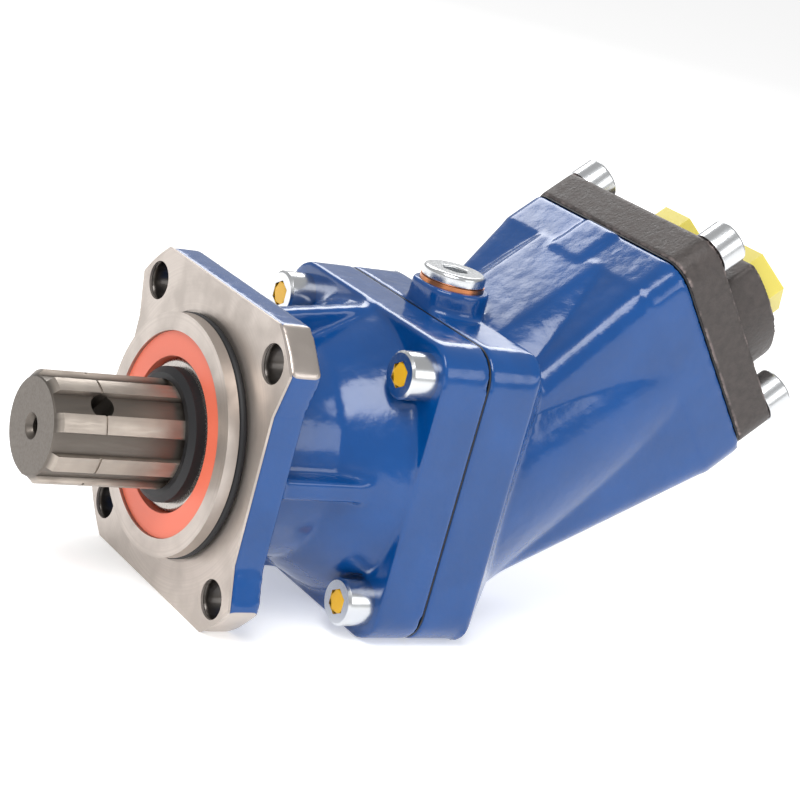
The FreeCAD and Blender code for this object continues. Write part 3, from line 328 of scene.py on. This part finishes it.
def ground_steel(name, colour, roughness=0.3, streak=(0.12, 1, 1), root=0.0):
    """Hardened steel from a grinder: fine streaks along the shaft, and painted shade making it darker
    below the root radius.
    """
    material, tree, shader = blank_material(name, colour, {"Metallic": 0.9})
    lines = grain(tree, 0.8 * MM, 2.0, streak)
    blotch = ramp(tree, grain(tree, 9 * MM, 4.0), 0.35, 0.65)
    tone = mix(tree, ramp(tree, lines, 0.3, 0.7), shade(colour, 0.93), shade(colour, 1.07))
    tone = mix(tree, blotch, tone, shade(colour, 0.86))
    if root:
        radius, along = radius_from_shaft(tree)
        # Painted shade in the spline grooves: the colour is darkened below the root radius.
        root_painted_shade = ramp(tree, radius, root + 0.1 * MM, root + 1.3 * MM, 1.0, 0.0)
        tone = mix(tree, root_painted_shade, tone, shade(colour, 0.35))
    tree.links.new(tone, shader.inputs["Base Color"])
    tree.links.new(ramp(tree, lines, 0.3, 0.7, roughness * 0.8, roughness * 1.25),
                   shader.inputs["Roughness"])
    emboss(tree, shader, lines, 0.012 * MM)
    return material


def soft_copper(settings):
    """Annealed copper washer: warm, slightly dull."""
    return blank_material("Annealed copper", settings.copper, {"Metallic": 1.0, "Roughness": 0.3})[0]


def moulded_plastic(name, colour, roughness=0.35):
    """Injection-moulded polyethylene: a little light passes into it."""
    return blank_material(name, colour, {
        "Roughness": roughness, "IOR": 1.5, "Subsurface Weight": 0.15,
        "Subsurface Radius": (2 * MM, 2 * MM, 0.6 * MM), "Subsurface Scale": 1.0})[0]


def rubber(name, colour, roughness=0.55):
    """Moulded nitrile rubber: matt, with a soft sheen and fine grain."""
    material, tree, shader = blank_material(name, colour, {"Roughness": roughness, "IOR": 1.5})
    emboss(tree, shader, grain(tree, 1.0 * MM, 2.0), 0.03 * MM)
    return material


# ---------------------------------------------------------------- shaping

def copy_of(node):
    """A bmesh of a CAD node, with its loose triangles joined."""
    shape = bmesh.new()
    shape.from_mesh(NODES[node].data)
    bmesh.ops.remove_doubles(shape, verts=shape.verts, dist=0.002 * MM)
    return shape


def front_casting():
    """The casting's three nodes in one bmesh, the neck's ends carried into its neighbours."""
    whole = bmesh.new()
    low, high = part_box("bearing_neck")
    for node in FRONT_CASTING:
        shape = copy_of(node)
        for vert in shape.verts:
            if node == "bearing_neck" and abs(vert.co.x - low.x) < 0.01 * MM:
                vert.co.x -= 0.5 * MM
            elif node == "bearing_neck" and abs(vert.co.x - high.x) < 0.01 * MM:
                vert.co.x += 0.5 * MM
        mesh = bpy.data.meshes.new(node)
        shape.to_mesh(mesh)
        shape.free()
        whole.from_mesh(mesh)
        bpy.data.meshes.remove(mesh)
    return whole


def slice_off(shape, place, normal):
    """Removes what lies beyond a plane and closes the cut."""
    sliced = bmesh.ops.bisect_plane(
        shape, geom=shape.verts[:] + shape.edges[:] + shape.faces[:], dist=0.0001 * MM,
        plane_co=place, plane_no=normal, clear_outer=True)
    rim = [item for item in sliced["geom_cut"] if isinstance(item, bmesh.types.BMEdge)]
    bmesh.ops.triangle_fill(shape, edges=rim, use_beauty=True, normal=normal)
    bmesh.ops.remove_doubles(shape, verts=shape.verts, dist=0.002 * MM)
    bmesh.ops.recalc_face_normals(shape, faces=shape.faces)


def settle(shape, name, material, body, stands_for=(), sharp_angle=40, weighted=True):
    """Makes the bmesh a finished piece on its body."""
    for face in shape.faces:
        face.smooth = True
    for edge in shape.edges:
        turn = edge.calc_face_angle(0.0)
        edge.smooth = turn < math.radians(sharp_angle)
    mesh = bpy.data.meshes.new(name)
    shape.to_mesh(mesh)
    shape.free()
    piece = bpy.data.objects.new(name, mesh)
    bpy.context.scene.collection.objects.link(piece)
    piece.data.materials.append(material)
    if weighted:
        piece.modifiers.new("Flat faces stay flat", "WEIGHTED_NORMAL").keep_sharp = True
    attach(piece, body)
    if stands_for:
        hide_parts(*stands_for)
    return piece


def cast_skin(shape, size, passes):
    """The same shape with a continuous skin, its edges and corners rounded as a casting's are."""
    mesh = bpy.data.meshes.new("skin")
    shape.to_mesh(mesh)
    shape.free()
    blank = bpy.data.objects.new("skin", mesh)
    bpy.context.scene.collection.objects.link(blank)
    skin = blank.modifiers.new("Skin", "REMESH")
    skin.mode = "VOXEL"
    skin.voxel_size = size
    skinned = bpy.data.meshes.new_from_object(
        blank.evaluated_get(bpy.context.evaluated_depsgraph_get()))
    bpy.data.objects.remove(blank)
    rounded = bmesh.new()
    rounded.from_mesh(skinned)
    for _ in range(passes):
        bmesh.ops.smooth_vert(rounded, verts=rounded.verts, factor=0.5,
                              use_axis_x=True, use_axis_y=True, use_axis_z=True)
    return rounded


def broken_edges(node, width, corner_angle=35, segments=2):
    """A copy of a machined CAD node with its edges broken."""
    shape = copy_of(node)
    bmesh.ops.dissolve_limit(shape, angle_limit=math.radians(0.6), verts=shape.verts,
                             edges=shape.edges, use_dissolve_boundaries=False)
    corners = [edge for edge in shape.edges
               if edge.calc_face_angle(0.0) > math.radians(corner_angle)]
    bmesh.ops.bevel(shape, geom=corners, offset=width, offset_type="OFFSET", segments=segments,
                    profile=0.5, affect="EDGES", clamp_overlap=True, material=-1)
    return shape


def machined(node, name, material, width):
    """A machined piece that stands for its CAD node."""
    return settle(broken_edges(node, width), name, material, BODY_OF_NODE[node],
                  (node,))


def repaint(nodes, material):
    """Gives CAD nodes a finish."""
    for node in nodes:
        NODES[node].data.materials.clear()
        NODES[node].data.materials.append(material)


# ---------------------------------------------------------------- pieces

class PumpFrontCasting(bpy.types.Operator):
    """Builds the front casting's enamelled skin and its bare mounting face"""
    bl_idname = "pump.front_casting"
    bl_label = "Front casting"

    def execute(self, context):
        settings = context.scene.pump_casting
        cut = Vector((settings.face_depth, 0, 0))
        casting = front_casting()
        slice_off(casting, cut, -SHAFT_DIRECTION)
        casting = cast_skin(casting, settings.skin_size, settings.fillet_passes)
        settle(casting, "front_casting", blue_enamel(settings, turned_corners=True), "housing",
               FRONT_CASTING, sharp_angle=60, weighted=False)
        face = copy_of("mounting_flange")
        slice_off(face, cut, SHAFT_DIRECTION)
        settle(face, "mounting_face", turned_iron(settings), "housing",
               ("mounting_flange",), sharp_angle=30)
        return {"FINISHED"}


class PumpBarrelCasting(bpy.types.Operator):
    """Builds the enamelled skin of the barrel housing"""
    bl_idname = "pump.barrel_casting"
    bl_label = "Barrel casting"

    def execute(self, context):
        settings = context.scene.pump_casting
        casting = cast_skin(copy_of("barrel_housing"), settings.skin_size, settings.fillet_passes)
        settle(casting, "barrel_casting", blue_enamel(settings), "housing",
               ("barrel_housing",), sharp_angle=60, weighted=False)
        return {"FINISHED"}


class PumpEndCover(bpy.types.Operator):
    """Builds the phosphated end cover"""
    bl_idname = "pump.end_cover"
    bl_label = "End cover"

    def execute(self, context):
        settings = context.scene.pump_casting
        casting = cast_skin(copy_of("end_cover"), settings.skin_size, settings.cover_passes)
        settle(casting, "end_cover_casting", phosphated_iron(settings), "housing",
               ("end_cover",), sharp_angle=60, weighted=False)
        return {"FINISHED"}


class PumpScrews(bpy.types.Operator):
    """Builds the plated screws and the plugs in the sockets of the front ones"""
    bl_idname = "pump.screws"
    bl_label = "Screws"

    def execute(self, context):
        settings = context.scene.pump_hardware
        plate = zinc_plate(settings)
        for node in ("housing_screws", "cover_screws"):
            machined(node, node + "_plated", plate, settings.head_edge)
        low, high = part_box("housing_screws")
        plug = bmesh.new()
        for across in (low.y + SCREW_HEAD, high.y - SCREW_HEAD):
            for up in (low.z + SCREW_HEAD, high.z - SCREW_HEAD):
                turn = Matrix.Translation((low.x + 2.35 * MM, across, up)) @ Matrix.Rotation(
                    math.radians(90), 4, "Y")
                bmesh.ops.create_cone(plug, cap_ends=True, segments=6, radius1=4.5 * MM,
                                      radius2=4.5 * MM, depth=4.1 * MM, matrix=turn)
        bmesh.ops.bevel(plug, geom=plug.edges[:], offset=0.5 * MM, offset_type="OFFSET",
                        segments=2, profile=0.5, affect="EDGES", material=-1)
        settle(plug, "socket_plugs", moulded_plastic("Moulded socket plug", settings.socket_plug, 0.2),
               "housing")
        return {"FINISHED"}


class PumpVentPlug(bpy.types.Operator):
    """Builds the vent plug and its washer"""
    bl_idname = "pump.vent_plug"
    bl_label = "Vent plug"

    def execute(self, context):
        settings = context.scene.pump_hardware
        machined("vent_plug", "vent_plug_plated", zinc_plate(settings), settings.head_edge)
        repaint(["vent_washer"], soft_copper(settings))
        return {"FINISHED"}


class PumpPortCaps(bpy.types.Operator):
    """Builds the two moulded port caps"""
    bl_idname = "pump.port_caps"
    bl_label = "Port caps"

    def execute(self, context):
        settings = context.scene.pump_hardware
        plastic = moulded_plastic("Moulded port cap", settings.cap)
        for node in ("suction_port_cap", "pressure_port_cap"):
            machined(node, node + "_moulded", plastic, 0.7 * MM)
        return {"FINISHED"}


class PumpShaft(bpy.types.Operator):
    """Builds the splined shaft and what turns with it in front"""
    bl_idname = "pump.shaft"
    bl_label = "Shaft"

    def execute(self, context):
        settings = context.scene.pump_hardware
        machined("drive_shaft", "drive_shaft_ground",
                 ground_steel("Ground shaft steel", settings.shaft, 0.4, root=SPLINE_ROOT),
                 settings.edge_break)
        machined("seal_sleeve", "seal_sleeve_ground",
                 ground_steel("Ground sleeve steel", "B8B2AC", 0.25, (1, 1, 1)),
                 settings.edge_break)
        return {"FINISHED"}


class PumpSeals(bpy.types.Operator):
    """Builds the rubber pieces"""
    bl_idname = "pump.seals"
    bl_label = "Seals"

    def execute(self, context):
        settings = context.scene.pump_hardware
        machined("shaft_seal", "shaft_seal_moulded",
                 rubber("Moulded seal rubber", settings.seal, 0.42), 0.3 * MM)
        repaint(["pilot_oring", "housing_gasket", "cover_gasket", "spline_ring"],
                rubber("Black nitrile rubber", "17171A"))
        return {"FINISHED"}


class PumpInside(bpy.types.Operator):
    """Gives the bearings and the rotating group their finishes"""
    bl_idname = "pump.inside"
    bl_label = "Inside"

    def execute(self, context):
        steel = ground_steel("Bearing steel", "BDBDBD", 0.22, (1, 1, 1))
        bronze = ground_steel("Turned bronze", "A98F63", 0.35, (1, 1, 1))
        sealed = [node for node in NODES if node.startswith((
            "front_bearing", "rear_bearing", "piston", "centre_", "valve_plate", "ball_retainer",
            "retainer_screws", "bearing_nut"))]
        repaint(sealed, steel)
        repaint(["cylinder_block"], bronze)
        return {"FINISHED"}


class PumpStage(bpy.types.Operator):
    """Sets up the pale floor, the soft lights and the camera"""
    bl_idname = "pump.stage"
    bl_label = "Stage"

    def execute(self, context):
        settings = context.scene.pump_stage
        foot = CAD_BOX[0].z
        floor = bmesh.new()
        bmesh.ops.create_grid(floor, x_segments=1, y_segments=1, size=settings.floor_width / 2,
                              matrix=Matrix.Translation((0, 0, foot)))
        mesh = bpy.data.meshes.new("floor")
        floor.to_mesh(mesh)
        floor.free()
        ground = bpy.data.objects.new("floor", mesh)
        ground.data.materials.append(
            blank_material("Pale studio floor", settings.floor_colour, {
                "Roughness": 1.0, "Specular IOR Level": 0.0, "Emission Color": (1, 1, 1, 1),
                "Emission Strength": 0.45})[0])
        context.scene.collection.objects.link(ground)
        for name, place, width, height, power in (
                ("key_light", (-0.75, -0.7, 1.5), 1.0, 1.0, 22.0),
                ("fill_light", (0.9, -1.5, 0.75), 1.0, 0.8, 6.0),
                ("rim_light", (0.6, 1.3, 1.0), 1.4, 0.6, 12.0)):
            lamp = bpy.data.lights.new(name, "AREA")
            lamp.shape, lamp.size, lamp.size_y, lamp.energy = "RECTANGLE", width, height, power
            holder = bpy.data.objects.new(name, lamp)
            aim = Vector((0.08, 0, 0.02)) - Vector(place)
            holder.matrix_world = (Matrix.Translation(place)
                                   @ aim.to_track_quat("-Z", "Y").to_matrix().to_4x4())
            context.scene.collection.objects.link(holder)
        world = bpy.data.worlds.new("Studio")
        world.use_nodes = True
        back = world.node_tree.nodes["Background"]
        back.inputs["Color"].default_value = (1, 1, 1, 1)
        back.inputs["Strength"].default_value = 0.5
        context.scene.world = world
        eye = bpy.data.cameras.new("camera")
        eye.lens, eye.sensor_width, eye.sensor_fit = settings.lens, 36.0, "HORIZONTAL"
        eye.clip_end = 200.0
        camera = bpy.data.objects.new("camera", eye)
        axes = Matrix(((0.8147, -0.0637, -0.5764), (-0.5190, 0.3633, -0.7737),
                       (0.2587, 0.9295, 0.2629)))
        camera.matrix_world = Matrix.Translation(settings.camera_place) @ axes.to_4x4()
        context.scene.collection.objects.link(camera)
        context.scene.camera = camera
        context.scene.view_settings.view_transform = "Standard"
        return {"FINISHED"}


class PumpPanel(bpy.types.Panel):
    """Lists the pump's pieces in the 3D view's sidebar"""
    bl_idname = "VIEW3D_PT_pump"
    bl_label = "Axial Piston Pump"
    bl_space_type = "VIEW_3D"
    bl_region_type = "UI"
    bl_category = "Pump"

    def draw(self, context):
        for group in SETTINGS:
            holder = getattr(context.scene, group)
            for name in holder.__annotations__:
                self.layout.prop(holder, name)
        for operator in OPERATORS:
            self.layout.operator(operator.bl_idname)


SETTINGS = {"pump_casting": PumpCastingSettings, "pump_hardware": PumpHardwareSettings,
            "pump_stage": PumpStageSettings}
OPERATORS = (PumpFrontCasting, PumpBarrelCasting, PumpEndCover, PumpScrews, PumpVentPlug,
             PumpPortCaps, PumpShaft, PumpSeals, PumpInside, PumpStage)


def register():
    for name, group in SETTINGS.items():
        bpy.utils.register_class(group)
        setattr(bpy.types.Scene, name, bpy.props.PointerProperty(type=group))
    for kind in (*OPERATORS, PumpPanel):
        bpy.utils.register_class(kind)


def unregister():
    for kind in (PumpPanel, *reversed(OPERATORS)):
        bpy.utils.unregister_class(kind)
    for name, group in SETTINGS.items():
        delattr(bpy.types.Scene, name)
        bpy.utils.unregister_class(group)


def main():
    register()
    for operator in OPERATORS:
        group, name = operator.bl_idname.split(".")
        getattr(getattr(bpy.ops, group), name)()


if __name__ == "__main__":
    main()
